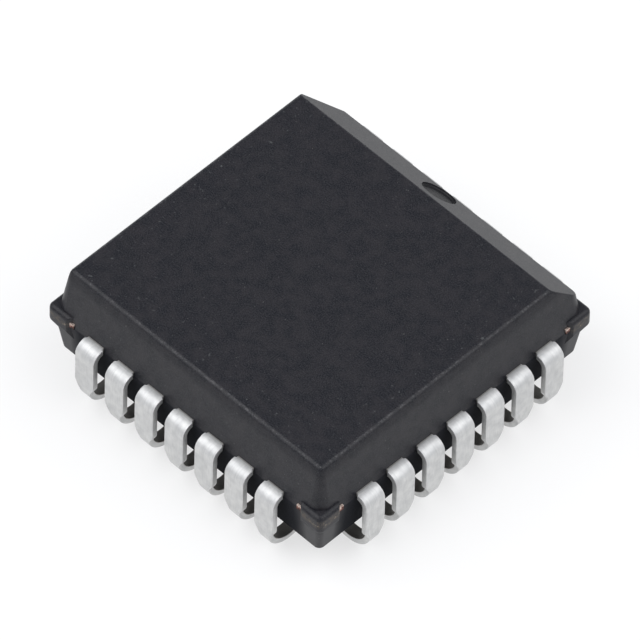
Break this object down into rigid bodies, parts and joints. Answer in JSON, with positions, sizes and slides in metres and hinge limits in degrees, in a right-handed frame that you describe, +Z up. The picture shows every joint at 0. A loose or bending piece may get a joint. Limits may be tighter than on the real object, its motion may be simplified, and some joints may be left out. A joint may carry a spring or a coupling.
{
  "type": "programmable timer chip",
  "caption": "Programmable timer chip in a square moulded carrier, with J-shaped tin-plated leads curled under all four sides, one bevelled side and a cut pin 1 corner.",
  "frame": {"origin": "on the board plane that the leads stand on, under the middle of the package", "axes": "+Z up, away from the board; +Y towards the bevelled side that carries pin 1; the cut corner is at -X, +Y"},
  "size_m": [0.0124, 0.0124, 0.0045],
  "materials": {
    "moulding_compound": "fine moulded grain",
    "tinned_lead": "matte tin plate",
    "frame_copper": "bare copper alloy, sheared",
    "die_silicon": "polished silicon",
    "die_adhesive": "silver-filled epoxy",
    "bond_gold": "drawn gold"
  },
  "bodies": {
    "root": {"body": "moulding_compound", "die_paddle": "frame_copper", "die_adhesive": "die_adhesive", "die": "die_silicon", "bond_wires": "bond_gold", "lead_01": "tinned_lead", "lead_02": "tinned_lead", "lead_03": "tinned_lead", "lead_04": "tinned_lead", "lead_05": "tinned_lead", "lead_06": "tinned_lead", "lead_07": "tinned_lead", "lead_08": "tinned_lead", "lead_09": "tinned_lead", "lead_10": "tinned_lead", "lead_11": "tinned_lead", "lead_12": "tinned_lead", "lead_13": "tinned_lead", "lead_14": "tinned_lead", "lead_15": "tinned_lead", "lead_16": "tinned_lead", "lead_17": "tinned_lead", "lead_18": "tinned_lead", "lead_19": "tinned_lead", "lead_20": "tinned_lead", "lead_21": "tinned_lead", "lead_22": "tinned_lead", "lead_23": "tinned_lead", "lead_24": "tinned_lead", "lead_25": "tinned_lead", "lead_26": "tinned_lead", "lead_27": "tinned_lead", "lead_28": "tinned_lead"}
  },
  "joints": []
}
